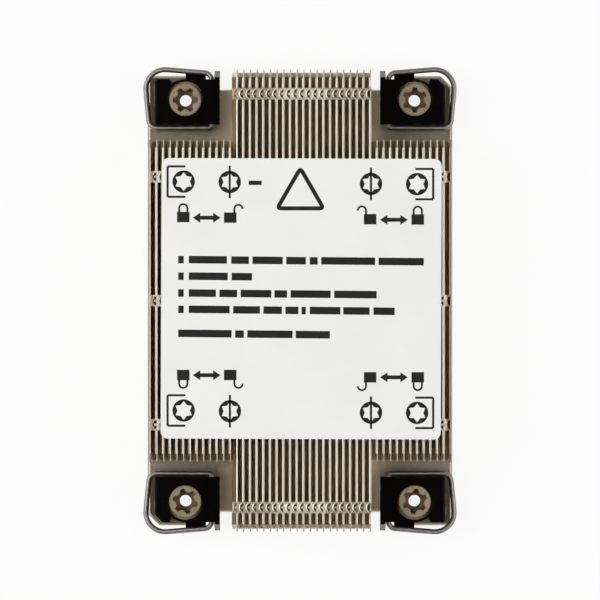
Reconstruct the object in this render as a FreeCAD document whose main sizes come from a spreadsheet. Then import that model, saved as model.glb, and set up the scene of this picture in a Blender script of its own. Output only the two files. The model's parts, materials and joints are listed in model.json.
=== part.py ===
"""Passive heat sink for a server processor: base plate, sheet fins that hook together, nut housings,
captive nuts, locking wires and a label. Millimetres, +Z up, origin on the underside, below the middle.
+X is the right side and +Y the rear. The air flows along Y."""
import FreeCAD, Part
import math
import os
import re
import Sketcher
from FreeCAD import Placement, Rotation, Vector

# Driving sizes: alias, value, what it is.
SIZES = [
    ("base_width", 78.6, "base plate across the fins"),
    ("base_length", 109.0, "base plate along the fins, without its lugs"),
    ("base_thick", 4.5, "base plate thickness"),
    ("base_rim", 1.05, "from the middle of the outermost fins to the edge of the base"),
    ("edge_break", 0.5, "chamfer round the top of the base"),
    ("fin_count", 46, "number of fins"),
    ("first_long", 14, "leftmost long fin"),
    ("last_long", 34, "rightmost long fin"),
    ("fin_sheet", 0.3, "thickness of the fin sheet"),
    ("fin_height", 20.85, "fin, from its foot to its top"),
    ("fin_overhang", 4.35, "long fins past the end of the base"),
    ("fin_gap", 0.02, "play between one fin's folds and the next fin"),
    ("hem_width", 0.54, "folded edge along a fin's top"),
    ("hem_setback", 2.0, "plain sheet past each end of the hem"),
    ("tab_width", 2.96, "zip tab along the fin"),
    ("side_row", 9.45, "side zip rows from the end of a short fin"),
    ("end_row", 6.2, "outer zip row from the end of a long fin"),
    ("eye_depth", 1.25, "D-shaped eye in a tab, across the fin"),
    ("eye_width", 2.4, "D-shaped eye, along the fin"),
    ("plain_tab", 1.3, "short tab of the first long fin, which has no hem"),
    ("plain_eye", 1.05, "depth of the eye in that tab"),
    ("tongue_reach", 0.8, "tongue past the fin that it hooks"),
    ("tongue_width", 1.0, "tongue along the fin"),
    ("nut_inset_x", 9.85, "nut centre in from the base's long edge"),
    ("nut_inset_y", 3.0, "nut centre in from the base's short edge"),
    ("lug_reach", 6.5, "lug past the nut centre, outwards along Y"),
    ("lug_inner", 4.25, "lug past the nut centre, inwards along X"),
    ("lug_cut", 3.0, "chamfer on the outer corner of the rear right and front left lugs"),
    ("lug_nick", 0.9, "chamfer on the outer corner of the two other lugs"),
    ("stud_hole", 3.0, "radius of the stud's hole in the lug"),
    ("house_height", 8.0, "nut housing above the base"),
    ("house_in", 8.85, "housing past the nut centre, inwards along X"),
    ("house_out", 7.85, "housing past the nut centre, outwards along X"),
    ("house_back", 6.2, "housing past the nut centre, inwards along Y"),
    ("house_front", 5.4, "housing past the nut centre, outwards along Y"),
    ("house_cut", 2.0, "chamfer on the outer corner of the housings on the cut lugs"),
    ("house_nick", 0.5, "chamfer on the outer corner of the two other housings"),
    ("house_bevel", 0.4, "bevel along the housing's outer top edge"),
    ("house_roof", 1.2, "housing roof over the nut's shoulder"),
    ("side_lane", 4.3, "free lane between a housing and the short fins"),
    ("horn_wall", 1.4, "thickness of the horn on the inner side"),
    ("horn_reach", 2.4, "horn past the housing's outer face"),
    ("ledge_height", 2.7, "ledge under the wire, above the base"),
    ("ledge_reach", 1.9, "ledge past the housing's outer face"),
    ("ledge_length", 5.2, "ledge along X, up to the nut's centre line"),
    ("bite_width", 4.0, "opening beside the ledge that bares the lug"),
    ("bite_wall", 0.47, "wall left round the nut in that opening"),
    ("nut_body", 4.8, "radius of the nut's shoulder"),
    ("nut_neck", 4.08, "radius of the nut's head"),
    ("nut_bore", 1.65, "radius of the nut's thread"),
    ("nut_rise", 0.8, "nut head above the housing"),
    ("drive_depth", 3.4, "depth of the recess"),
    ("tooth_radius", 1.2, "rounded tooth between two points"),
    ("tooth_ring", 3.6, "circle of the teeth's centres"),
    ("turn_play", 0.08, "play round the nut"),
    ("wire_radius", 0.67, "half the wire's thickness"),
    ("wire_play", 0.05, "play round the wire in its holes"),
    ("wire_socket", 2.4, "depth of the wire's holes"),
    ("wire_end", 0.2, "space left past the wire's end in its hole"),
    ("pivot_in", 6.7, "wire's pivot from the nut centre, inwards"),
    ("pivot_height", 4.5, "wire's pivot above the base"),
    ("wire_slope", 6.0, "degrees that the locked wire drops outwards"),
    ("wire_front", 1.6, "outer leg at the pivot, past the housing"),
    ("wire_spread", 1.5, "rise of the outer leg towards the corner"),
    ("wire_back", 0.8, "inner leg's centre from the housing"),
    ("wire_side", 16.1, "side leg from the pivot, at its inner end"),
    ("wire_splay", 1.5, "side leg's outer end further out by"),
    ("bend_front", 1.9, "wire's bend at its front pivot"),
    ("bend_back", 0.8, "wire's bend at its back pivot"),
    ("bend_inner", 2.2, "wire's inner corner"),
    ("bend_outer", 5.0, "wire's outer corner"),
    ("label_side", 3.65, "label's edge in from the base's long edge"),
    ("label_end", 5.3, "label's edge in from the ends of the short fins"),
    ("label_thick", 0.15, "label thickness"),
    ("label_round", 1.8, "label's corner radius"),
    ("label_x", 0.3, "label's middle off centre, to the right"),
    ("label_y", 0.5, "label's middle off centre, to the rear"),
    ("label_turn", -0.2, "degrees that the label sits askew"),
]
value = {alias: number for alias, number, note in SIZES}

# Longer formulas that several pieces share, by name.
SHARED = {
    "long_half": "base_length / 2 + fin_overhang",
    "short_half": "nut_y - house_back - side_lane",
    "fin_pitch": "(base_width - 2 * base_rim) / (fin_count - 1)",
    "nut_x": "base_width / 2 - nut_inset_x",
    "nut_y": "base_length / 2 - nut_inset_y",
}

# Fins at each side whose zip tabs the label leaves open to view: these have eyes and tongues.
SHOWN_FINS = 2

# Corner name: side along X, side along Y, degrees that its nut stands turned.
CORNERS = {
    "rear_left": (-1, 1, 0),
    "rear_right": (1, 1, 30),
    "front_left": (-1, -1, 45),
    "front_right": (1, -1, 22),
}

doc = FreeCAD.newDocument("HeatSink")
sheet = doc.addObject("Spreadsheet::Sheet", "Sizes")
for row, (alias, number, note) in enumerate(SIZES, start=1):
    sheet.set(f"A{row}", note)
    sheet.set(f"B{row}", str(number))
    sheet.setAlias(f"B{row}", alias)
doc.recompute()

subparts = []
X_AXIS = Vector(1, 0, 0)
Y_AXIS = Vector(0, 1, 0)
Z_AXIS = Vector(0, 0, 1)


def spelled(formula):
    """A formula in which shared names are written out and each alias refers to its cell."""
    for name, meaning in SHARED.items():
        formula = re.sub(rf"\b{name}\b", f"({meaning})", formula)
    return re.sub(r"\b[a-z]+(_[a-z]+)+\b", lambda word: "Sizes." + word.group(), formula)


def worth(formula):
    """What a formula comes to now."""
    return float(sheet.evalExpression(spelled(formula)))


def bind(target, **formulas):
    """Tie properties to the sheet; a double underscore in a name stands for a dot."""
    for name, formula in formulas.items():
        target.setExpression(name.replace("__", "."), spelled(formula))


def new_body(label, x="0", y="0", z="0", turn=Rotation()):
    """An empty body, turned and at its place in the whole."""
    body = doc.addObject("PartDesign::Body", label)
    body.Label = label
    body.Placement = Placement(Vector(0, 0, 0), turn)
    bind(body, Placement__Base__x=x, Placement__Base__y=y, Placement__Base__z=z)
    subparts.append(body)
    return body


def new_sketch(body, role, offset="0"):
    """A sketch on one of the body's own planes, moved along the plane's normal."""
    sketch = body.newObject("Sketcher::SketchObject", "outline")
    plane = [item for item in body.Origin.OriginFeatures if item.Role == role][0]
    sketch.AttachmentSupport = [(plane, "")]
    sketch.MapMode = "FlatFace"
    bind(sketch, AttachmentOffset__Base__z=offset)
    return sketch


def hold(sketch, kind, edge, end, formula):
    """Keep a point of a sketch at a distance from the sketch's origin, along X or Y."""
    index = sketch.addConstraint(Sketcher.Constraint(kind, -1, 1, edge, end, worth(formula)))
    sketch.setExpression(f"Constraints[{index}]", spelled(formula))


def pin_point(sketch, edge, end, x, y):
    hold(sketch, "DistanceX", edge, end, x)
    hold(sketch, "DistanceY", edge, end, y)


def hold_radius(sketch, edge, radius):
    index = sketch.addConstraint(Sketcher.Constraint("Radius", edge, worth(radius)))
    sketch.setExpression(f"Constraints[{index}]", spelled(radius))


def draw_loop(sketch, corners):
    """A closed outline. A corner is (x, y); with a third item, (x of centre, middle point), the edge
    that leaves it is an arc."""
    first = sketch.GeometryCount
    count = len(corners)
    spots = [Vector(worth(corner[0]), worth(corner[1]), 0) for corner in corners]
    ends = []
    for i, corner in enumerate(corners):
        here = spots[i]
        there = spots[(i + 1) % count]
        if len(corner) == 2:
            sketch.addGeometry(Part.LineSegment(here, there), False)
            ends.append((1, 2))
        else:
            middle = Vector(*[worth(formula) for formula in corner[2][1]], 0)
            sketch.addGeometry(Part.Arc(here, middle, there), False)
            turned = sketch.getPoint(first + i, 1).distanceToPoint(here) > 1e-6
            ends.append((2, 1) if turned else (1, 2))
    for i in range(count):
        after = (i + 1) % count
        sketch.addConstraint(
            Sketcher.Constraint("Coincident", first + i, ends[i][1], first + after, ends[after][0])
        )
    for i, corner in enumerate(corners):
        pin_point(sketch, first + i, ends[i][0], corner[0], corner[1])
        if len(corner) == 3:
            hold(sketch, "DistanceX", first + i, 3, corner[2][0])


def draw_circle(sketch, x, y, radius):
    """A circle held by its centre and its radius."""
    spot = Vector(worth(x), worth(y), 0)
    index = sketch.addGeometry(Part.Circle(spot, Z_AXIS, worth(radius)), False)
    pin_point(sketch, index, 3, x, y)
    hold_radius(sketch, index, radius)


def add_pad(body, sketch, length, midplane=False):
    pad = body.newObject("PartDesign::Pad", "pad")
    pad.Profile = sketch
    pad.Midplane = midplane
    bind(pad, Length=length)
    return pad


def add_pocket(body, sketch, length):
    """Cut upwards from the sketch."""
    pocket = body.newObject("PartDesign::Pocket", "pocket")
    pocket.Profile = sketch
    pocket.Reversed = True
    bind(pocket, Length=length)
    return pocket


def bevel(body, size, test):
    """Chamfer those edges of the body's last feature whose ends all pass a test."""
    doc.recompute()
    base = body.Tip
    names = []
    for i, edge in enumerate(base.Shape.Edges, start=1):
        spots = [vertex.Point for vertex in edge.Vertexes]
        if spots and all(test(spot) for spot in spots):
            names.append(f"Edge{i}")
    chamfer = body.newObject("PartDesign::Chamfer", "bevel")
    chamfer.Base = (base, names)
    bind(chamfer, Size=size)


def corner_place(side_x, side_y):
    return {"x": f"{side_x} * nut_x", "y": f"{side_y} * nut_y"}


def facing(side_y):
    """The front corners are the rear ones turned half round."""
    return Rotation(Z_AXIS, 0 if side_y > 0 else 180)


def lug_outline(side_x, side_y):
    """One lug's share of the base's outline. Two lugs across a diagonal have a larger corner chamfer."""
    side = "(base_width / 2)"
    end = "(nut_y + lug_reach)"
    corner = "lug_cut" if side_x * side_y > 0 else "lug_nick"
    spots = [
        (side, f"{end} - {corner}"),
        (f"{side} - {corner}", end),
        ("nut_x - lug_inner", end),
        ("nut_x - lug_inner", "base_length / 2"),
    ]
    return [(f"{side_x} * ({x})", f"{side_y} * ({y})") for x, y in spots]


def make_base():
    """One plate under all the fins, with a lug at each corner for a nut."""
    body = new_body("base_plate")
    loop = lug_outline(1, 1) + lug_outline(-1, 1)[::-1] + lug_outline(-1, -1) + lug_outline(1, -1)[::-1]
    outline = new_sketch(body, "XY_Plane")
    draw_loop(outline, loop)
    add_pad(body, outline, "base_thick")
    top = value["base_thick"]
    bevel(body, "edge_break", lambda spot: abs(spot.z - top) < 1e-6)
    holes = new_sketch(body, "XY_Plane")
    for side_x, side_y, turn in CORNERS.values():
        draw_circle(holes, *corner_place(side_x, side_y).values(), "stud_hole")
    add_pocket(body, holes, "base_thick")


def flange_outline(half, hemmed, rows):
    """The flat folded top of a fin seen from above, from its outer face at x = 0 towards -X. Each row
    is (y, reach of its tab, depth of its eye, has a tongue)."""
    hem = "-hem_width" if hemmed else "-fin_sheet"
    tip = "-(fin_pitch + tongue_reach)"
    right = [("0", f"-{half}")]
    left = [("-fin_sheet", f"-{half}")]
    if hemmed:
        left += [("-fin_sheet", f"-({half} - hem_setback)"), (hem, f"-({half} - hem_setback)")]
    for y, reach, eye, has_tongue in rows:
        if eye:
            right += [
                ("0", f"{y} - eye_width / 2"),
                (f"-{eye} * 0.7", f"{y} - eye_width * 0.37"),
                (f"-{eye}", y),
                (f"-{eye} * 0.7", f"{y} + eye_width * 0.37"),
                ("0", f"{y} + eye_width / 2"),
            ]
        left += [(hem, f"{y} - tab_width / 2"), (f"-{reach}", f"{y} - tab_width / 2")]
        if has_tongue:
            left += [
                (f"-{reach}", f"{y} - tongue_width / 2"),
                (tip, f"{y} - tongue_width / 4"),
                (tip, f"{y} + tongue_width / 4"),
                (f"-{reach}", f"{y} + tongue_width / 2"),
            ]
        left += [(f"-{reach}", f"{y} + tab_width / 2"), (hem, f"{y} + tab_width / 2")]
    right += [("0", half)]
    if hemmed:
        left += [(hem, f"{half} - hem_setback"), ("-fin_sheet", f"{half} - hem_setback")]
    left += [("-fin_sheet", half)]
    return right + left[::-1]


def fin_rows(number, is_long, is_first_long):
    """The zip rows of a fin: three along the short fins' length and one at each end of a long fin."""
    count = int(value["fin_count"])
    rows = []
    if number > 1:
        in_view = number <= SHOWN_FINS + 1 or number > count - SHOWN_FINS
        hooks = in_view and number not in (2, count - SHOWN_FINS + 1)
        eye = "eye_depth" if in_view else None
        rows = [(f"{i} * (short_half - side_row)", "(fin_pitch - fin_gap)", eye, hooks) for i in (-1, 0, 1)]
    if is_long:
        kind = ("(fin_pitch - fin_gap)", "eye_depth", True)
        if is_first_long:
            kind = ("plain_tab", "plain_eye", False)
        rows = [("(end_row - long_half)", *kind), *rows, ("(long_half - end_row)", *kind)]
    return rows


def make_fins():
    """Folded sheet fins, soldered to the base by their feet. The middle ones run between the housings."""
    count = int(value["fin_count"])
    for number in range(1, count + 1):
        is_long = value["first_long"] <= number <= value["last_long"]
        is_first_long = number == value["first_long"]
        half = "long_half" if is_long else "short_half"
        steps = number - (count + 1) / 2
        body = new_body(f"fin_{number:02d}", x=f"{steps} * fin_pitch + hem_width / 2", z="base_thick")
        foot = "fin_pitch - fin_gap" if number > 1 else "base_rim - hem_width / 2"
        section = new_sketch(body, "XZ_Plane")
        draw_loop(section, [
            ("0", "0"),
            ("0", "fin_height - fin_sheet"),
            ("-fin_sheet", "fin_height - fin_sheet"),
            ("-fin_sheet", "fin_sheet"),
            (f"-({foot})", "fin_sheet"),
            (f"-({foot})", "0"),
        ])
        add_pad(body, section, f"2 * {half}", midplane=True)
        flange = new_sketch(body, "XY_Plane", "fin_height - fin_sheet")
        rows = fin_rows(number, is_long, is_first_long)
        draw_loop(flange, flange_outline(half, number > 1 and not is_first_long, rows))
        add_pad(body, flange, "fin_sheet")


def make_housing(corner, side_x, side_y):
    """Black moulding on a lug. In its own frame +Y points outwards, and hand is its outward X side."""
    hand = side_x * side_y
    body = new_body(
        f"nut_housing_{corner}", z="base_thick", turn=facing(side_y), **corner_place(side_x, side_y)
    )

    def across(formula):
        return f"{hand} * ({formula})"

    rim = "(nut_body + turn_play + bite_wall)"
    middle = (across(f"{rim} * sin(23 deg)"), f"{rim} * cos(23 deg)")
    arc_end = "(bite_width * 0.9)"
    corner_cut = "house_cut" if hand > 0 else "house_nick"
    outline = new_sketch(body, "XY_Plane")
    draw_loop(outline, [
        (across("-house_in"), "-house_back"),
        (across("house_out"), "-house_back"),
        (across("house_out"), f"house_front - {corner_cut}"),
        (across(f"house_out - {corner_cut}"), "house_front"),
        (across("bite_width"), "house_front"),
        (across(arc_end), f"sqrt({rim} ^ 2 - {arc_end} ^ 2)", ("0", middle)),
        ("0", rim),
        (across("-house_in"), rim),
    ])
    add_pad(body, outline, "house_height")
    horn = new_sketch(body, "XY_Plane")
    draw_loop(horn, [
        (across("-house_in"), "0"),
        (across("-house_in"), "house_front + horn_reach"),
        (across("horn_wall - house_in"), "house_front + horn_reach"),
        (across("horn_wall - house_in"), "0"),
    ])
    add_pad(body, horn, "house_height")
    ledge = new_sketch(body, "XY_Plane")
    draw_loop(ledge, [
        ("0", "0"),
        ("0", "house_front + ledge_reach"),
        (across("-ledge_length"), "house_front + ledge_reach"),
        (across("-ledge_length"), "0"),
    ])
    add_pad(body, ledge, "ledge_height")
    outer = hand * value["house_out"]
    top = value["house_height"]
    bevel(body, "house_bevel", lambda spot: abs(spot.x - outer) < 1e-6 and abs(spot.z - top) < 1e-6)
    stepped = new_sketch(body, "XZ_Plane")
    draw_loop(stepped, [
        ("0", "-1"),
        ("nut_body + turn_play", "-1"),
        ("nut_body + turn_play", "house_height - house_roof"),
        ("nut_neck + turn_play", "house_height - house_roof"),
        ("nut_neck + turn_play", "house_height + 1"),
        ("0", "house_height + 1"),
    ])
    seat = body.newObject("PartDesign::Groove", "seat")
    seat.Profile = stepped
    seat.ReferenceAxis = (stepped, ["V_Axis"])
    seat.Angle = 360
    relief = new_sketch(body, "XY_Plane", "house_height - house_roof")
    draw_circle(relief, "0", "(nut_body - nut_neck) * 0.7", "nut_neck + (nut_body - nut_neck) * 0.6")
    add_pocket(body, relief, "house_roof")
    for start in ("-house_back", f"{rim} - wire_socket"):
        bore = body.newObject("PartDesign::SubtractiveCylinder", "bore")
        bore.Placement = Placement(Vector(0, 0, 0), Rotation(X_AXIS, -90))
        bind(bore, Radius="wire_radius + wire_play", Height="wire_socket")
        bind(bore, Placement__Base__x=across("-pivot_in"), Placement__Base__y=start)
        bind(bore, Placement__Base__z="pivot_height")


def make_nut(corner, side_x, side_y, turn):
    """Moulded nut on the lug: shoulder, head, a six-lobe recess and a thread right through."""
    body = new_body(
        f"captive_nut_{corner}", z="base_thick", turn=Rotation(Z_AXIS, turn), **corner_place(side_x, side_y)
    )
    shoulder = "house_height - house_roof - turn_play"
    top = "(house_height + nut_rise)"
    profile = new_sketch(body, "XZ_Plane")
    draw_loop(profile, [
        ("nut_bore", "turn_play"),
        ("nut_body", "turn_play"),
        ("nut_body", shoulder),
        ("nut_neck", shoulder),
        ("nut_neck", top),
        ("nut_bore", top),
    ])
    turned = body.newObject("PartDesign::Revolution", "turned")
    turned.Profile = profile
    turned.ReferenceAxis = (profile, ["V_Axis"])
    turned.Angle = 360
    floor = f"{top} - drive_depth"
    star = []
    for i in range(6):
        lean = 60 * i + 30
        for bend in (-76, -38, 0, 38, 76):
            deep = f"(tooth_ring - tooth_radius * cos({bend} deg))"
            wide = f"(tooth_radius * sin({bend} deg))"
            star.append((
                f"{deep} * cos({lean} deg) - {wide} * sin({lean} deg)",
                f"{deep} * sin({lean} deg) + {wide} * cos({lean} deg)",
            ))
    recess = new_sketch(body, "XY_Plane", floor)
    draw_loop(recess, star)
    add_pocket(body, recess, "drive_depth")


def draw_bent_line(sketch, corners, radii):
    """An open centre line: straight runs between corners, joined by tangent bends of given radii."""
    spots = [Vector(worth(x), worth(y), 0) for x, y in corners]
    starts = [spots[0]]
    bends = []
    for i, radius in enumerate(radii, start=1):
        back = (spots[i - 1] - spots[i]).normalize()
        ahead = (spots[i + 1] - spots[i]).normalize()
        half = back.getAngle(ahead) / 2
        size = worth(radius)
        inset = size / math.tan(half)
        centre = spots[i] + (back + ahead).normalize() * (size / math.sin(half))
        middle = centre + (spots[i] - centre).normalize() * size
        bends.append(Part.Arc(spots[i] + back * inset, middle, spots[i] + ahead * inset))
        starts += [spots[i] + back * inset, spots[i] + ahead * inset]
    starts.append(spots[-1])
    runs = []
    for i in range(0, len(starts), 2):
        runs.append(sketch.addGeometry(Part.LineSegment(starts[i], starts[i + 1]), False))
    pin_point(sketch, runs[0], 1, *corners[0])
    pin_point(sketch, runs[-1], 2, *corners[-1])
    for i, bend in enumerate(bends):
        edge = sketch.addGeometry(bend, False)
        forward = sketch.getPoint(edge, 1).distanceToPoint(starts[2 * i + 1]) < 1e-6
        near, far = (1, 2) if forward else (2, 1)
        sketch.addConstraint(Sketcher.Constraint("Tangent", runs[i], 2, edge, near))
        sketch.addConstraint(Sketcher.Constraint("Tangent", edge, far, runs[i + 1], 1))
        hold_radius(sketch, edge, radii[i])
        knee = sketch.addGeometry(Part.Point(spots[i + 1]), True)
        pin_point(sketch, knee, 1, *corners[i + 1])
        sketch.addConstraint(Sketcher.Constraint("PointOnObject", knee, 1, runs[i]))
        sketch.addConstraint(Sketcher.Constraint("PointOnObject", knee, 1, runs[i + 1]))


def make_wire(corner, side_x, side_y):
    """Steel wire bent to a U whose two ends turn in to the housing. Its plane drops outwards."""
    hand = side_x * side_y
    tilt = Rotation(Y_AXIS, hand * value["wire_slope"])
    body = new_body(
        f"locking_wire_{corner}",
        x=f"{side_x} * (nut_x - pivot_in)",
        y=f"{side_y} * nut_y",
        z="base_thick + pivot_height",
        turn=facing(side_y).multiply(tilt),
    )
    reach = "(wire_socket - wire_end)"
    front_start = f"nut_body + turn_play + bite_wall - {reach}"
    front = "house_front + wire_front"
    back = "-(house_back + wire_back)"
    path = new_sketch(body, "XY_Plane")
    draw_bent_line(
        path,
        [
            ("0", front_start),
            ("0", front),
            (f"{hand} * (wire_side + wire_splay)", f"{front} + wire_spread"),
            (f"{hand} * wire_side", back),
            ("0", back),
            ("0", f"-house_back + {reach}"),
        ],
        ["bend_front", "bend_outer", "bend_inner", "bend_back"],
    )
    section = new_sketch(body, "XZ_Plane", f"-({front_start})")
    angles = [30 + 60 * i for i in range(6)]
    draw_loop(section, [(f"wire_radius * cos({a} deg)", f"wire_radius * sin({a} deg)") for a in angles])
    swept = body.newObject("PartDesign::AdditivePipe", "swept")
    swept.Profile = section
    swept.Spine = (path, [])


def make_label():
    """Printed film stuck on the tops of the fins."""
    body = new_body(
        "top_label",
        x="label_x",
        y="label_y",
        z="base_thick + fin_height",
        turn=Rotation(Z_AXIS, value["label_turn"]),
    )
    wide = "(base_width / 2 - label_side)"
    deep = "(short_half - label_end)"
    inset = "(label_round * (1 - sqrt(0.5)))"
    corners = []
    for right, up in ((1, 1), (-1, 1), (-1, -1), (1, -1)):
        centre = (f"{right} * ({wide} - label_round)", f"{up} * ({deep} - label_round)")
        middle = (f"{right} * ({wide} - {inset})", f"{up} * ({deep} - {inset})")
        along = (centre[0], f"{up} * {deep}")
        beside = (f"{right} * {wide}", centre[1])
        start, stop = (beside, along) if right == up else (along, beside)
        corners += [(*start, (centre[0], middle)), stop]
    outline = new_sketch(body, "XY_Plane")
    draw_loop(outline, corners)
    add_pad(body, outline, "label_thick")


make_base()
make_fins()
for corner, (side_x, side_y, turn) in CORNERS.items():
    make_housing(corner, side_x, side_y)
    make_nut(corner, side_x, side_y, turn)
    make_wire(corner, side_x, side_y)
make_label()
doc.recompute()

for item in doc.Objects:
    if "Invalid" in item.State or "Error" in item.State:
        raise RuntimeError(f"{item.Label} failed: {item.State}")
for body in subparts:
    if body.Shape.isNull() or not body.Shape.isValid():
        raise RuntimeError(f"{body.Label} has no valid shape")
os.makedirs("parts", exist_ok=True)
for body in subparts:
    body.Shape.exportStep(f"parts/{body.Label}.step")
print("wrote", len(subparts), "parts")
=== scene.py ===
import json
import math
import bpy
from mathutils import Matrix, Vector

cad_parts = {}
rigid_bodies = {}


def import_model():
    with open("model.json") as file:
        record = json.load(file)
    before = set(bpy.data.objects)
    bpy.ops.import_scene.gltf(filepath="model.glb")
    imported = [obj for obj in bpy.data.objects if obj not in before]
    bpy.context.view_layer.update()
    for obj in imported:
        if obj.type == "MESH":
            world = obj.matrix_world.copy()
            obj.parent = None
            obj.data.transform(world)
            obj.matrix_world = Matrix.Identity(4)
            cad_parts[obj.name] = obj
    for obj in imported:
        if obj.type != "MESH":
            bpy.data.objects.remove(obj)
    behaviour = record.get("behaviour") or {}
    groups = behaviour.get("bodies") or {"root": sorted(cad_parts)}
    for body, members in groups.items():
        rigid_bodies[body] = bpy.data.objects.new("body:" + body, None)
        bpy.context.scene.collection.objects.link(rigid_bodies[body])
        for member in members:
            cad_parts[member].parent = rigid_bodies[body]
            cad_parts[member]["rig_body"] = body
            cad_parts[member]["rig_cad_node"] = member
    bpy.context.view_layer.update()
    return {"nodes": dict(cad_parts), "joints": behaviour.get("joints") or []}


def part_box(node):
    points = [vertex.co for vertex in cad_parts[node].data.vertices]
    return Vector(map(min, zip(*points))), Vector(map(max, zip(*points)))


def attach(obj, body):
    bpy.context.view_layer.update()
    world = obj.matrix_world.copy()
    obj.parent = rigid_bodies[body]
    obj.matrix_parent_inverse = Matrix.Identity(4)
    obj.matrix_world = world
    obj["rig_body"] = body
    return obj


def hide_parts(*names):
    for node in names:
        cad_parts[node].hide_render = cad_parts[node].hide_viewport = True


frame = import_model()
nodes = frame["nodes"]
joints = {joint["name"]: joint for joint in frame["joints"]}
mm = 0.001
mergeGap = 0.002 * mm
nearGap = 0.01 * mm
corners = {"rear_left": (-1, 1), "rear_right": (1, 1), "front_left": (-1, -1), "front_right": (1, -1)}
print("frame loaded:", len(nodes), "nodes")


def onlyObject(piece):
    bpy.ops.object.select_all(action="DESELECT")
    piece.select_set(True)
    bpy.context.view_layer.objects.active = piece


def named(name):
    piece = bpy.context.object
    piece.name = name
    piece.data.name = name
    return piece


def editing(piece, mode="FACE"):
    onlyObject(piece)
    bpy.ops.object.mode_set(mode="EDIT")
    bpy.ops.mesh.select_mode(type=mode)
    bpy.ops.mesh.select_all(action="DESELECT")


def doneEditing():
    bpy.ops.object.mode_set(mode="OBJECT")


def pick(piece, kind, test):
    # selection is written in object mode, then edit mode reads it
    bpy.ops.object.mode_set(mode="EDIT")
    bpy.ops.mesh.select_all(action="DESELECT")
    bpy.ops.object.mode_set(mode="OBJECT")
    for item in getattr(piece.data, kind):
        item.select = test(item)
    bpy.ops.object.mode_set(mode="EDIT")


def addModifier(piece, kind, **settings):
    onlyObject(piece)
    modifier = piece.modifiers.new(kind.title(), kind)
    for name, amount in settings.items():
        setattr(modifier, name, amount)
    bpy.ops.object.modifier_apply(modifier=modifier.name)


def settle(piece):
    # place, turn and scale go into the mesh
    onlyObject(piece)
    bpy.ops.object.transform_apply(location=True, rotation=True, scale=True)


def copyOf(pattern, name, spot=(0, 0, 0), turn=0.0):
    onlyObject(pattern)
    bpy.ops.object.duplicate()
    piece = named(name)
    piece.location = spot
    piece.rotation_euler.z = turn
    settle(piece)
    return piece


def closedUp():
    # in edit mode: doubles merged, faces turned outwards
    bpy.ops.mesh.select_all(action="SELECT")
    bpy.ops.mesh.remove_doubles(threshold=mergeGap)
    bpy.ops.mesh.normals_make_consistent(inside=False)
    doneEditing()


def smoothByAngle(piece, degrees):
    onlyObject(piece)
    bpy.ops.object.shade_smooth_by_angle(angle=math.radians(degrees))


def joined(pieces, name):
    onlyObject(pieces[0])
    for piece in pieces:
        piece.select_set(True)
    bpy.ops.object.join()
    return named(name)


def dress(piece, material, slotName, body, *replaced):
    piece.data.materials.clear()
    piece.data.materials.append(material)
    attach(piece, body)
    if replaced:
        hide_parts(*replaced)


# nodes that the materials, the floor and the sky are made from

def addNoise(tree, coords, scale, detail, stretch):
    mapping = tree.nodes.new("ShaderNodeMapping")
    mapping.inputs["Scale"].default_value = stretch
    noise = tree.nodes.new("ShaderNodeTexNoise")
    noise.inputs["Scale"].default_value = scale
    noise.inputs["Detail"].default_value = detail
    tree.links.new(coords, mapping.inputs["Vector"])
    tree.links.new(mapping.outputs["Vector"], noise.inputs["Vector"])
    return noise.outputs["Fac"]


def addRamp(tree, factor, stops):
    ramp = tree.nodes.new("ShaderNodeValToRGB")
    for element, (spot, colour) in zip(ramp.color_ramp.elements, stops):
        element.position = spot
        element.color = (*colour, 1)
    tree.links.new(factor, ramp.inputs["Fac"])
    return ramp.outputs["Color"]


def addSpan(tree, source, start, end, low=0.0, high=1.0, kind="LINEAR"):
    span = tree.nodes.new("ShaderNodeMapRange")
    span.interpolation_type = kind
    for name, amount in (("From Min", start), ("From Max", end), ("To Min", low), ("To Max", high)):
        span.inputs[name].default_value = amount
    tree.links.new(source, span.inputs["Value"])
    return span.outputs["Result"]


def addMath(tree, operation, *sources):
    node = tree.nodes.new("ShaderNodeMath")
    node.operation = operation
    for source, socket in zip(sources, node.inputs):
        tree.links.new(source, socket)
    return node.outputs["Value"]


def axisOf(tree, coords, axis):
    split = tree.nodes.new("ShaderNodeSeparateXYZ")
    tree.links.new(coords, split.inputs["Vector"])
    return split.outputs[axis]


def addTint(tree, coords, colour, tint):
    # each place runs from nought at its start to one at its end, on both sides of the middle
    mask = None
    for axis, start, end in tint["where"]:
        part = addSpan(tree, addMath(tree, "ABSOLUTE", axisOf(tree, coords, axis)), start, end)
        mask = addMath(tree, "MULTIPLY", mask, part) if mask else part
    share = addRamp(tree, mask, [(0, (1, 1, 1)), (1, tint["colour"])])
    product = tree.nodes.new("ShaderNodeVectorMath")
    product.operation = "MULTIPLY"
    tree.links.new(colour, product.inputs[0])
    tree.links.new(share, product.inputs[1])
    return product.outputs["Vector"]


noiseForm = {"cloudDetail": 3, "grainDetail": 6, "low": 0.3, "high": 0.7}


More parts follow.
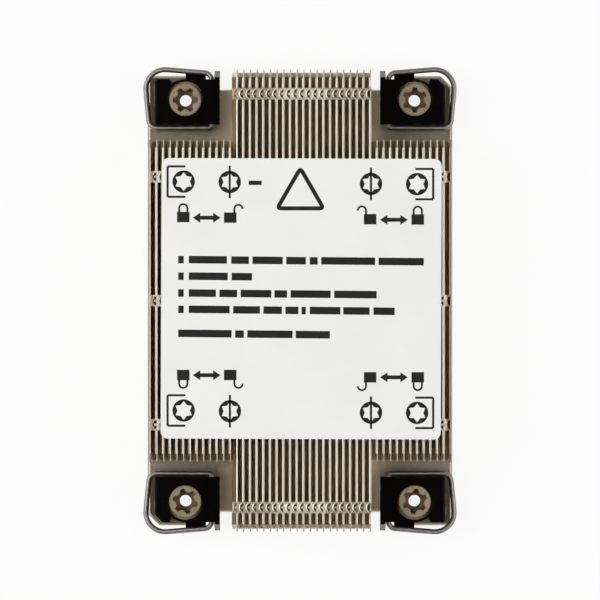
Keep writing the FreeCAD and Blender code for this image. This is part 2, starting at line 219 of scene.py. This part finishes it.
def finish(name, look):
    material = bpy.data.materials.new(name)
    material.use_nodes = True
    tree = material.node_tree
    shader = tree.nodes["Principled BSDF"]
    coords = tree.nodes.new("ShaderNodeTexCoord").outputs["Object"]
    shader.inputs["Metallic"].default_value = look.get("metallic", 0)
    shader.inputs["Specular IOR Level"].default_value = look.get("specular", 0.5)
    low, high = noiseForm["low"], noiseForm["high"]
    stretch = look.get("stretch", (1, 1, 1))
    cloud = addNoise(tree, coords, look["cloudScale"], noiseForm["cloudDetail"], stretch)
    grain = addNoise(tree, coords, look["grainScale"], noiseForm["grainDetail"], stretch)
    colour = addRamp(tree, cloud, [(low, look["dark"]), (high, look["light"])])
    for tint in look.get("tints", []):
        colour = addTint(tree, coords, colour, tint)
    tree.links.new(colour, shader.inputs["Base Color"])
    tree.links.new(addSpan(tree, grain, low, high, *look["roughness"]), shader.inputs["Roughness"])
    bump = tree.nodes.new("ShaderNodeBump")
    bump.inputs["Distance"].default_value = look["bump"]
    bump.inputs["Strength"].default_value = 1.0
    tree.links.new(grain, bump.inputs["Height"])
    tree.links.new(bump.outputs["Normal"], shader.inputs["Normal"])
    return material


looks = {
    "baseNickel": {
        "metallic": 1, "dark": (0.38, 0.33, 0.255), "light": (0.49, 0.43, 0.34),
        "roughness": (0.28, 0.38), "cloudScale": 60, "grainScale": 1400, "bump": 0.0000015,
    },
    "blackMoulding": {
        "dark": (0.0010, 0.0006, 0.0005), "light": (0.0018, 0.0011, 0.0009), "specular": 0.1,
        "roughness": (0.20, 0.30), "cloudScale": 150, "grainScale": 4200, "bump": 0.000004,
    },
    "tanMoulding": {
        "dark": (0.22, 0.170, 0.100), "light": (0.31, 0.245, 0.150),
        "roughness": (0.38, 0.52), "cloudScale": 260, "grainScale": 3600, "bump": 0.000006,
        # painted shade: the recess is painted darker and browner than the head, more so deeper down, for the
        # shade and bounced light inside it
        "tints": [{"where": [("Z", 11.1 * mm, 10.3 * mm)], "colour": (0.46, 0.27, 0.09)}],
    },
    "springSteel": {
        "metallic": 1, "dark": (0.23, 0.217, 0.20), "light": (0.32, 0.303, 0.28),
        "roughness": (0.42, 0.50), "cloudScale": 420, "grainScale": 3000, "bump": 0.000003,
    },
    "labelFilm": {
        "dark": (0.80, 0.80, 0.795), "light": (0.84, 0.84, 0.835), "specular": 0.35,
        "roughness": (0.42, 0.52), "cloudScale": 70, "grainScale": 5200, "bump": 0.000002,
    },
    "printInk": {
        "dark": (0.010, 0.010, 0.011), "light": (0.016, 0.016, 0.017), "specular": 0.2,
        "roughness": (0.44, 0.54), "cloudScale": 200, "grainScale": 5200, "bump": 0.000002,
    },
}
finLook = {
    "metallic": 1, "dark": (0.86, 0.79, 0.66), "light": (0.98, 0.92, 0.79),
    "roughness": (0.30, 0.40), "cloudScale": 90, "grainScale": 1500,
    "stretch": (1, 0.12, 0.5), "bump": 0.000006,
}
finTints = [
    # painted shade on the feet, where the channels lie in shade; their tips are left unpainted
    {"where": [("Z", 5.6 * mm, 5.0 * mm), ("Y", 57.9 * mm, 57.6 * mm)], "colour": (0.34, 0.28, 0.21)},
    # painted shade and highlight: the hooked tabs of the end rows are painted darker away from the middle,
    # so that the middle ones stand out bright as a painted highlight; their raised rims are not painted
    {"where": [("X", 6.4 * mm, 7.2 * mm), ("Y", 51.0 * mm, 51.15 * mm), ("Y", 54.3 * mm, 54.15 * mm),
               ("Z", 24.9 * mm, 25.0 * mm), ("Z", 25.43 * mm, 25.37 * mm)], "colour": (0.66, 0.63, 0.56)},
    # painted shade: the outermost folds are painted darker
    {"where": [("X", 37.4 * mm, 37.5 * mm), ("Z", 24.6 * mm, 24.9 * mm)], "colour": (0.43, 0.41, 0.34)},
]
# painted shade: the fin tops are painted darker at their ends
paintedTipShade = {"above": 24.0 * mm, "full": 24.5 * mm, "fade": 0.1 * mm, "colour": (0.45, 0.44, 0.42)}
for name, start in (("longFin", 56.8 * mm), ("shortFin", 38.9 * mm)):
    tips = {"where": [("Z", paintedTipShade["above"], paintedTipShade["full"]), ("Y", start, start + paintedTipShade["fade"])],
            "colour": paintedTipShade["colour"]}
    looks[name] = {**finLook, "tints": [finTints[0], tips, *finTints[1:]]}
materials = {name: finish(name, look) for name, look in looks.items()}
nodeFinish = {"fin": "shortFin", "base": "baseNickel", "nut": "blackMoulding", "captive": "tanMoulding",
              "locking": "springSteel", "top": "labelFilm"}
for name, node in nodes.items():
    node.data.materials.clear()
    node.data.materials.append(materials[nodeFinish[name.split("_")[0]]])
print("materials made:", len(materials))

# base plate, nut housings and fins, softened from the frame's own forms

softEdges = {
    "sharpFrom": 35, "smoothTo": 40,
    "base": {"radius": 0.12 * mm, "rounds": 2},
    "housing": {"radius": 0.16 * mm, "rounds": 3},
    "fin": {"radius": 0.13 * mm, "rounds": 3},
}


def plainCopy(node, name):
    onlyObject(nodes[node])
    bpy.ops.object.duplicate()
    piece = named(name)
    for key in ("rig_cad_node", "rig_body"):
        if key in piece:
            del piece[key]
    piece.parent = None
    editing(piece)
    bpy.ops.mesh.select_all(action="SELECT")
    bpy.ops.mesh.remove_doubles(threshold=mergeGap)
    bpy.ops.mesh.dissolve_limited(angle_limit=math.radians(1))
    doneEditing()
    return piece


def softened(piece, edge):
    addModifier(piece, "BEVEL", width=edge["radius"], segments=edge["rounds"], limit_method="ANGLE",
                angle_limit=math.radians(softEdges["sharpFrom"]), harden_normals=False)
    smoothByAngle(piece, softEdges["smoothTo"])
    # large faces stay flat in the shading
    addModifier(piece, "WEIGHTED_NORMAL", keep_sharp=True)


basePlate = plainCopy("base_plate", "basePlate")
softened(basePlate, softEdges["base"])
dress(basePlate, materials["baseNickel"], "base_plate", "heatsink", "base_plate")

hornForm = {"inset": 1.9 * mm}  # how far the horn's outer end leans back at its top


def slopeHorn(piece, node, sideY):
    low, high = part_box(node)
    tip = high.y if sideY > 0 else low.y
    editing(piece, "VERT")
    pick(piece, "vertices", lambda v: abs(v.co.y - tip) < nearGap and v.co.z > high.z - nearGap)
    bpy.ops.transform.translate(value=(0, -sideY * hornForm["inset"], 0))
    doneEditing()


for corner, sides in corners.items():
    node = f"nut_housing_{corner}"
    housing = plainCopy(node, f"housing_{corner}")
    slopeHorn(housing, node, sides[1])
    softened(housing, softEdges["housing"])
    dress(housing, materials["blackMoulding"], "black_moulding", "heatsink", node)

finForm = {
    "count": 46, "firstLong": 14, "lastLong": 34, "rowY": 52.65 * mm,
    "lipRadius": 1.27 * mm, "lipBead": 0.145 * mm, "lipSteps": 28, "beadSteps": 10, "lipCut": 0.3 * mm,
}
for number in range(1, finForm["count"] + 1):
    node = f"fin_{number:02d}"
    finSheet = plainCopy(node, f"finSheet_{number:02d}")
    softened(finSheet, softEdges["fin"])
    isLong = finForm["firstLong"] <= number <= finForm["lastLong"]
    dress(finSheet, materials["longFin" if isLong else "shortFin"], "fin_sheet", "heatsink", node)
print("base, housings and fins done")

# raised rims round the eyes of the end rows

bpy.ops.mesh.primitive_torus_add(
    major_radius=finForm["lipRadius"], minor_radius=finForm["lipBead"],
    major_segments=finForm["lipSteps"], minor_segments=finForm["beadSteps"])
lipPattern = named("lipPattern")
editing(lipPattern, "VERT")
pick(lipPattern, "vertices", lambda v: v.co.x > finForm["lipCut"])
bpy.ops.mesh.delete(type="VERT")
doneEditing()
smoothByAngle(lipPattern, 60)
lips = []
for number in range(finForm["firstLong"] + 1, finForm["lastLong"] + 1):
    low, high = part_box(f"fin_{number:02d}")
    lips += [copyOf(lipPattern, "lip", (high.x, side * finForm["rowY"], high.z)) for side in (-1, 1)]
bpy.data.objects.remove(lipPattern)
zipLips = joined(lips, "zipLips")
dress(zipLips, materials["longFin"], "fin_sheet", "heatsink")
print("rims of the end rows done")

# captive nuts: turned blank, six-lobe recess, thread

nutForm = {
    "boreRadius": 1.65 * mm, "threadCrest": 1.54 * mm, "threadPitch": 0.5 * mm,
    "bodyRadius": 4.8 * mm, "neckRadius": 4.08 * mm, "rimBevel": 0.22 * mm,
    "shoulderDrop": 2.08 * mm, "recessRadius": 3.25 * mm, "recessDepth": 3.4 * mm,
    "recessSides": 96, "lobes": 6, "toothRadius": 1.2 * mm, "toothRing": 3.6 * mm, "toothSides": 48,
    "spinSteps": 72, "edge": 0.07 * mm, "edgeFrom": 50, "smoothTo": 35,
    "turns": {"rear_left": 0, "rear_right": 30, "front_left": 45, "front_right": 22},
}


def spunNut(low, high):
    bore, body, neck, rim = (nutForm[key] for key in ("boreRadius", "bodyRadius", "neckRadius", "rimBevel"))
    pitch = nutForm["threadPitch"]
    shoulder = high - nutForm["shoulderDrop"]
    z = high - nutForm["recessDepth"]
    outline = [(bore, low), (body, low), (body, shoulder), (neck, shoulder), (neck, high - rim),
               (neck - rim, high), (bore, high), (bore, z)]
    while z - pitch > low:
        outline += [(nutForm["threadCrest"], z - pitch / 2), (bore, z - pitch)]
        z -= pitch
    # one point, drawn round the outline and then spun
    bpy.ops.mesh.primitive_plane_add(size=mm, location=(outline[0][0], 0, outline[0][1]))
    piece = named("nutBlank")
    settle(piece)
    editing(piece, "VERT")
    bpy.ops.mesh.select_all(action="SELECT")
    bpy.ops.mesh.merge(type="CENTER")
    for here, ahead in zip(outline, outline[1:] + outline[:1]):
        step = (ahead[0] - here[0], 0, ahead[1] - here[1])
        bpy.ops.mesh.extrude_region_move(TRANSFORM_OT_translate={"value": step})
    bpy.ops.mesh.select_all(action="SELECT")
    bpy.ops.mesh.remove_doubles(threshold=mergeGap)
    bpy.ops.mesh.spin(steps=nutForm["spinSteps"], angle=math.tau, center=(0, 0, 0), axis=(0, 0, 1))
    closedUp()
    return piece


def recessCutter(high):
    depth = nutForm["recessDepth"]
    middle = high - depth / 2 + 0.5 * mm
    bpy.ops.mesh.primitive_cylinder_add(vertices=nutForm["recessSides"], radius=nutForm["recessRadius"],
                                        depth=depth + mm, location=(0, 0, middle))
    cutter = named("recessCutter")
    settle(cutter)
    for tooth in range(nutForm["lobes"]):
        lean = math.tau * (tooth + 0.5) / nutForm["lobes"]
        spot = (nutForm["toothRing"] * math.cos(lean), nutForm["toothRing"] * math.sin(lean), middle)
        bpy.ops.mesh.primitive_cylinder_add(vertices=nutForm["toothSides"], radius=nutForm["toothRadius"],
                                            depth=depth + 2 * mm, location=spot)
        peg = named("tooth")
        addModifier(cutter, "BOOLEAN", object=peg, operation="DIFFERENCE", solver="EXACT")
        bpy.data.objects.remove(peg)
    return cutter


nutLow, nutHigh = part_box("captive_nut_rear_left")
nutPattern = spunNut(nutLow.z, nutHigh.z)
cutter = recessCutter(nutHigh.z)
addModifier(nutPattern, "BOOLEAN", object=cutter, operation="DIFFERENCE", solver="EXACT")
bpy.data.objects.remove(cutter)
addModifier(nutPattern, "BEVEL", width=nutForm["edge"], segments=2, limit_method="ANGLE",
            angle_limit=math.radians(nutForm["edgeFrom"]))
for corner in corners:
    low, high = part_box(f"captive_nut_{corner}")
    centre = (low + high) / 2
    turn = math.radians(nutForm["turns"][corner])
    nut = copyOf(nutPattern, f"nut_{corner}", (centre.x, centre.y, 0), turn)
    smoothByAngle(nut, nutForm["smoothTo"])
    dress(nut, materials["tanMoulding"], "tan_moulding", f"nut_{corner}", f"captive_nut_{corner}")
bpy.data.objects.remove(nutPattern)
print("nuts done")

# locking wires, bent from round wire; route and bends are in millimetres

wireForm = {
    "radius": 0.67 * mm, "sides": 20, "slope": 6.0, "smoothTo": 50,
    "route": [(0, 3.15), (0, 7.0), (17.6, 8.5), (16.1, -7.0), (0, -7.0), (0, -4.0)],
    "bends": [1.9, 5.0, 2.2, 0.8], "bendSteps": [8, 16, 10, 8],
}


def bentWire():
    spots = [Vector((x, y, 0)) * mm for x, y in wireForm["route"]]
    bpy.ops.mesh.primitive_circle_add(
        vertices=wireForm["sides"], radius=wireForm["radius"], fill_type="NGON",
        location=spots[0], rotation=(math.radians(90), 0, 0))
    wire = named("wirePattern")
    settle(wire)
    editing(wire)
    bpy.ops.mesh.select_all(action="SELECT")
    here = spots[0]
    for i, (bend, steps) in enumerate(zip(wireForm["bends"], wireForm["bendSteps"]), start=1):
        radius = bend * mm
        ahead = (spots[i] - spots[i - 1]).normalized()
        after = (spots[i + 1] - spots[i]).normalized()
        turn = ahead.angle(after)
        way = 1 if ahead.cross(after).z > 0 else -1
        inset = radius * math.tan(turn / 2)
        start = spots[i] - ahead * inset
        bpy.ops.mesh.extrude_region_move(TRANSFORM_OT_translate={"value": start - here})
        inwards = Vector((-ahead.y, ahead.x, 0)) * way
        bpy.ops.mesh.spin(steps=steps, angle=turn * way, center=start + inwards * radius, axis=(0, 0, -1))
        here = spots[i] + after * inset
    bpy.ops.mesh.extrude_region_move(TRANSFORM_OT_translate={"value": spots[-1] - here})
    closedUp()
    return wire


wirePattern = bentWire()
for corner, (sideX, sideY) in corners.items():
    wire = copyOf(wirePattern, f"wire_{corner}")
    wire.matrix_world = (
        Matrix.Translation(joints[f"wire_swing_{corner}"]["pos_m"])
        @ Matrix.Diagonal((sideX, sideY, 1, 1))
        @ Matrix.Rotation(math.radians(wireForm["slope"]), 4, "Y")
    )
    settle(wire)
    editing(wire)
    closedUp()
    smoothByAngle(wire, wireForm["smoothTo"])
    dress(wire, materials["springSteel"], "spring_wire", f"wire_{corner}", f"locking_wire_{corner}")
bpy.data.objects.remove(wirePattern)
print("wires done")

# print on the label, in millimetres: signs only, with plain bars where a real one has words

signs = {
    "thick": 0.02,
    "star": {"disc": 2.85, "tip": 2.35, "waist": 1.6, "points": 6, "sides": 48, "hollow": 1.5},
    "bracket": {"outer": 4.1, "inner": 0.45, "half": 3.87, "line": 0.55},
    "bracketed": [(-29.60, 30.31, -1), (29.80, 29.67, 1), (-29.60, -27.94, -1), (29.80, -28.55, 1)],
    "lined": [(-17.89, 30.21), (18.07, 29.73), (-17.84, -28.12), (18.07, -28.50)],
    "lineHalf": 4.15,
    # way is where the shackle is swung, 0 when the lock is shut; up is which end it is on
    "lock": {"width": 3.18, "height": 2.65, "ring": 1.05, "line": 0.5, "leg": 0.9},
    "locks": [(-29.71, 21.29, 0, 1), (29.97, 20.67, 0, 1), (-17.76, 21.14, 1, 1), (17.85, 20.74, -1, 1),
              (-29.71, -18.91, 0, -1), (29.97, -19.50, 0, -1), (-17.76, -18.91, 1, -1),
              (17.85, -19.50, -1, -1)],
    "arrow": {"half": 3.55, "head": 1.27, "headLength": 1.9, "shaft": 1.0},
    "arrows": [(-23.75, 21.12), (23.91, 20.59), (-23.75, -18.96), (23.91, -19.49)],
    "triangle": {"centre": (0.10, 26.9), "radius": 7.85, "line": 1.05, "round": 1.9, "roundSteps": 5},
    "note": (-11.41, 30.0, 3.3, 1.1),
    "bar": {"height": 1.9, "tilt": -0.55, "left": -31.0},
    "bars": [
        (10.45, ((-31.0, -29.6), (-28.3, -18.6), (-17.5, -13.0), (-12.1, -4.4), (-3.5, 1.5), (2.5, 4.5),
                 (5.4, 19.1), (20.0, 31.5))),
        (6.24, ((-31.0, -29.6), (-28.3, -18.4), (-17.4, -12.2))),
        (1.95, ((-31.0, -29.6), (-28.3, -21.4), (-20.5, -16.0), (-15.1, -7.3), (-6.5, -3.3), (-2.4, 7.8),
                (8.7, 19.5))),
        (-2.2, ((-31.0, -29.6), (-28.3, -17.9), (-17.0, -10.2), (-9.3, -4.6), (-3.7, -0.4), (0.4, 1.5),
                (2.5, 10.3), (11.0, 17.7), (18.7, 24.1))),
        (-8.36, ((-31.0, -17.4), (-16.5, -14.3), (-13.4, -1.9), (-1.1, 7.6))),
    ],
}
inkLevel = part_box("top_label")[1].z


def plate(x, y, wide, tall, turn=0.0):
    bpy.ops.mesh.primitive_plane_add(size=1, location=(x * mm, y * mm, inkLevel), rotation=(0, 0, turn))
    shape = named("sign")
    shape.scale = (wide * mm, tall * mm, 1)
    settle(shape)
    return shape


def disc(x, y, radius, sides, turn=0.0):
    bpy.ops.mesh.primitive_circle_add(vertices=sides, radius=radius * mm, fill_type="NGON",
                                      location=(x * mm, y * mm, inkLevel), rotation=(0, 0, turn))
    shape = named("sign")
    settle(shape)
    return shape


def hollowed(shape, line):
    # in edit mode: only a line along the outline stays
    bpy.ops.mesh.select_all(action="SELECT")
    bpy.ops.mesh.inset(thickness=line * mm, depth=0)
    bpy.ops.mesh.delete(type="FACE")
    doneEditing()
    return shape


def starPattern():
    sizes = signs["star"]
    shape = disc(0, 0, sizes["disc"], sizes["sides"])
    editing(shape, "VERT")
    bpy.ops.mesh.select_all(action="SELECT")
    bpy.ops.mesh.inset(thickness=(sizes["disc"] - sizes["tip"]) * mm, depth=0)
    doneEditing()
    radius = min(v.co.xy.length for v in shape.data.vertices)
    spread = 180 / sizes["points"]

    def fromTip(v):
        return abs(math.degrees(math.atan2(v.co.y, v.co.x)) % (2 * spread) - spread)

    # the inner ring moves in between the tips, most of all at the waists
    steps = sizes["sides"] // (2 * sizes["points"])
    for step in range(steps + 1):
        share = (1 - step / steps) ** sizes["hollow"]
        reach = (sizes["waist"] + (sizes["tip"] - sizes["waist"]) * share) * mm / radius
        pick(shape, "vertices", lambda v: v.co.xy.length < (sizes["tip"] + 0.1) * mm
             and abs(fromTip(v) - step * spread / steps) < 1)
        bpy.ops.transform.resize(value=(reach, reach, 1), center_override=(0, 0, inkLevel))
    bpy.ops.mesh.select_mode(type="FACE")
    pick(shape, "polygons", lambda face: len(face.vertices) > 4)
    bpy.ops.mesh.delete(type="FACE")
    doneEditing()
    return shape


def bracketPattern():
    sizes = signs["bracket"]
    wide = sizes["outer"] + sizes["inner"]
    arms = [plate(sizes["outer"] - wide / 2, up * sizes["half"], wide, sizes["line"]) for up in (-1, 1)]
    return joined([plate(sizes["outer"], 0, sizes["line"], 2 * sizes["half"]), *arms], "bracketPattern")


def lockPattern(way):
    sizes = signs["lock"]
    x, y = way * 2 * sizes["ring"], sizes["height"] / 2 + sizes["leg"]
    arc = disc(x, y, sizes["ring"] + sizes["line"] / 2, 32)
    editing(arc)
    hollowed(arc, sizes["line"])
    editing(arc, "VERT")
    pick(arc, "vertices", lambda v: v.co.y < y * mm - nearGap)
    bpy.ops.mesh.delete(type="VERT")
    doneEditing()
    # an open lock has only the leg that stays in its body
    legs = [plate(x + end * sizes["ring"], y - sizes["leg"] / 2, sizes["line"], sizes["leg"])
            for end in ((-1, 1) if way == 0 else (-way,))]
    return joined([plate(0, 0, sizes["width"], sizes["height"]), arc, *legs], "lockPattern")


def arrowPattern():
    sizes = signs["arrow"]
    heads = []
    for side in (-1, 1):
        head = disc(0, 0, 1, 3, math.radians(-90 * side))
        head.scale = (sizes["headLength"] / 1.5, sizes["head"] / 0.866, 1)
        head.location.x = side * (sizes["half"] - sizes["headLength"] * 2 / 3) * mm
        settle(head)
        heads.append(head)
    shaft = plate(0, 0, 2 * (sizes["half"] - sizes["headLength"]), sizes["shaft"])
    return joined([shaft, *heads], "arrowPattern")


made = []


def stamp(pattern, x, y, side=1):
    made.append(copyOf(pattern, "sign", (x * mm, y * mm, 0), 0.0 if side > 0 else math.pi))


star, bracket, arrow = starPattern(), bracketPattern(), arrowPattern()
locks = {way: lockPattern(way) for way in (-1, 0, 1)}
for x, y, side in signs["bracketed"]:
    stamp(star, x, y)
    stamp(bracket, x, y, side)
for x, y in signs["lined"]:
    stamp(star, x, y)
    made.append(plate(x, y, signs["bracket"]["line"], 2 * signs["lineHalf"]))
for x, y, way, up in signs["locks"]:
    stamp(locks[way * up], x, y, up)
for x, y in signs["arrows"]:
    stamp(arrow, x, y)
for pattern in (star, bracket, arrow, *locks.values()):
    bpy.data.objects.remove(pattern)
warning = disc(*signs["triangle"]["centre"], signs["triangle"]["radius"], 3)
editing(warning, "VERT")
bpy.ops.mesh.select_all(action="SELECT")
bpy.ops.mesh.bevel(offset=signs["triangle"]["round"] * mm, segments=signs["triangle"]["roundSteps"],
                   affect="VERTICES")
made.append(hollowed(warning, signs["triangle"]["line"]))
made.append(plate(*signs["note"]))
tilt = math.radians(signs["bar"]["tilt"])
for y, words in signs["bars"]:
    for start, end in words:
        drop = math.tan(tilt) * (start - signs["bar"]["left"])
        made.append(plate((start + end) / 2, y + drop, end - start, signs["bar"]["height"], tilt))
labelPrint = joined(made, "labelPrint")
addModifier(labelPrint, "SOLIDIFY", thickness=signs["thick"] * mm, offset=1)
dress(labelPrint, materials["printInk"], "label_film", "heatsink")
print("label print done:", len(made), "signs")

# floor, light and camera

stageForm = {
    "floorSize": 2.4, "floorDrop": 0.0001, "floorGrey": 0.86, "floorRoughness": 0.8, "shadowShare": 0.12,
    "skyColour": (1, 0.985, 0.96),
    # white at the horizon, plain walls, dark overhead
    "sky": [{"height": (0.62, 0.90), "level": (0.42, 0.06)}, {"height": (0.06, 0.18), "level": (0.58, 0.0)}],
    "lamps": [
        {"name": "leftSoft", "spot": (-0.8, 0.1, 1.0), "size": (0.8, 0.9), "watts": 10.8},
        {"name": "rightSoft", "spot": (0.8, -0.1, 1.0), "size": (0.8, 0.9), "watts": 7.1},
    ],
}
bpy.ops.mesh.primitive_plane_add(size=stageForm["floorSize"], location=(0, 0, -stageForm["floorDrop"]))
floor = named("studioFloor")
floorMaterial = bpy.data.materials.new("whiteFloor")
floorMaterial.use_nodes = True
tree = floorMaterial.node_tree
shader = tree.nodes["Principled BSDF"]
shader.inputs["Base Color"].default_value = (*[stageForm["floorGrey"]] * 3, 1)
shader.inputs["Roughness"].default_value = stageForm["floorRoughness"]
glow = tree.nodes.new("ShaderNodeEmission")
share = tree.nodes.new("ShaderNodeMixShader")
paths = tree.nodes.new("ShaderNodeLightPath")
# seen and mirrored, the floor glows white, apart from the share that keeps the shadow
seen = addMath(tree, "MAXIMUM", paths.outputs["Is Camera Ray"], paths.outputs["Is Glossy Ray"])
seen = addMath(tree, "MAXIMUM", seen, paths.outputs["Is Transmission Ray"])
tree.links.new(addSpan(tree, seen, 0, 1, 0, 1 - stageForm["shadowShare"]), share.inputs["Fac"])
tree.links.new(shader.outputs["BSDF"], share.inputs[1])
tree.links.new(glow.outputs["Emission"], share.inputs[2])
tree.links.new(share.outputs["Shader"], tree.nodes["Material Output"].inputs["Surface"])
floor.data.materials.append(floorMaterial)

for lamp in stageForm["lamps"]:
    bpy.ops.object.light_add(type="AREA", location=lamp["spot"])
    light = bpy.context.object
    light.name = lamp["name"]
    light.data.shape = "RECTANGLE"
    light.data.size, light.data.size_y = lamp["size"]
    light.data.energy = lamp["watts"]
    light.rotation_euler = (-Vector(lamp["spot"])).to_track_quat("-Z", "Y").to_euler()
world = bpy.data.worlds.new("studio")
bpy.context.scene.world = world
world.use_nodes = True
tree = world.node_tree
background = tree.nodes["Background"]
background.inputs["Color"].default_value = (*stageForm["skyColour"], 1)
height = axisOf(tree, tree.nodes.new("ShaderNodeTexCoord").outputs["Generated"], "Z")
bands = [addSpan(tree, height, *band["height"], *band["level"], "SMOOTHSTEP") for band in stageForm["sky"]]
tree.links.new(addMath(tree, "ADD", *bands), background.inputs["Strength"])
bpy.context.scene.view_settings.view_transform = "Standard"

cameraForm = {"lens": 353.6, "sensor": 36, "distance": 1.5, "shiftY": 0.18 * mm, "clipEnd": 10}
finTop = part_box("fin_23")[1].z
bpy.ops.object.camera_add(location=(0, cameraForm["shiftY"], finTop + cameraForm["distance"]),
                          rotation=(0, 0, 0))
camera = bpy.context.object
camera.data.lens = cameraForm["lens"]
camera.data.sensor_width = cameraForm["sensor"]
camera.data.clip_end = cameraForm["clipEnd"]
bpy.context.scene.camera = camera
print("stage done")
